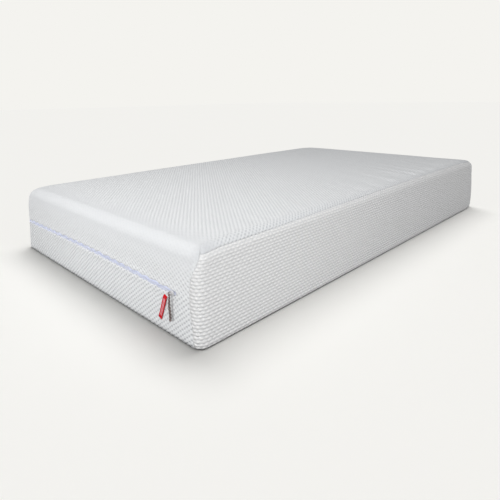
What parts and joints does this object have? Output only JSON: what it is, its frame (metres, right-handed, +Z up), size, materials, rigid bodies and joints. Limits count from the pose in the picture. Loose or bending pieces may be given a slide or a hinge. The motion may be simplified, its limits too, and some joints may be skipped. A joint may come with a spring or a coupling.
{
  "type": "memory foam mattress",
  "caption": "Flat rectangular foam mattress in a white dimpled knit cover with rounded edges, a zip round three sides, a corded zip slider and a red ribbon loop.",
  "frame": {"origin": "middle of the underside, on the surface the mattress lies on", "axes": "+Y along the length, away from the end with the zip's slider; +X across the width towards the side without a zip; +Z up through the thickness"},
  "size_m": [1.2, 2.0108, 0.27],
  "materials": {
    "cover_knit_top": "matte",
    "cover_knit_border": "matte",
    "cover_underside": "matte",
    "memory_foam": "matte",
    "transition_foam": "matte",
    "support_foam": "matte",
    "zip_tape": "matte",
    "zip_coil": "satin",
    "slider_metal": "satin",
    "cord_yarn": "matte",
    "ribbon_red": "matte"
  },
  "bodies": {
    "base": {"cover_side_panel": "cover_knit_border", "cover_lower_border": "cover_knit_border", "cover_bottom_panel": "cover_underside", "memory_foam_layer": "memory_foam", "transition_foam_layer": "transition_foam", "support_foam_core": "support_foam", "zip_tape_lower": "zip_tape", "zip_coil_lower": "zip_coil", "zip_stops_lower": "slider_metal"},
    "cover_lid": {"cover_top": "cover_knit_top", "zip_tape_upper": "zip_tape", "zip_coil_upper": "zip_coil", "zip_stops_upper": "slider_metal"},
    "slider": {"zip_slider_body": "slider_metal", "zip_slider_crown": "slider_metal"},
    "cord_loop": {"pull_cord_loop": "cord_yarn", "pull_cord_top_knot": "cord_yarn"},
    "cord": {"pull_cord": "cord_yarn", "pull_cord_end_knot": "cord_yarn"},
    "ribbon": {"ribbon_loop": "ribbon_red"}
  },
  "joints": [
    {"name": "cover_open", "type": "hinge", "parent": "base", "child": "cover_lid", "pos_m": [0.5895, 0, 0.26], "axis": [0, 1, 0], "range_deg": [0, 100]},
    {"name": "slider_travel", "type": "slide", "parent": "base", "child": "slider", "axis": [-1, 0, 0], "range_m": [0, 1.028]},
    {"name": "cord_lift", "type": "hinge", "parent": "slider", "child": "cord_loop", "pos_m": [0.484, -1.0065, 0.125], "axis": [-1, 0, 0], "range_deg": [0, 120]},
    {"name": "cord_swing", "type": "hinge", "parent": "cord_loop", "child": "cord", "pos_m": [0.484, -1.0065, 0.1185], "axis": [0, 1, 0], "range_deg": [-40, 40]},
    {"name": "ribbon_lift", "type": "hinge", "parent": "base", "child": "ribbon", "pos_m": [0.4565, -1.0011, 0.113], "axis": [-1, 0, 0], "range_deg": [0, 150]}
  ]
}
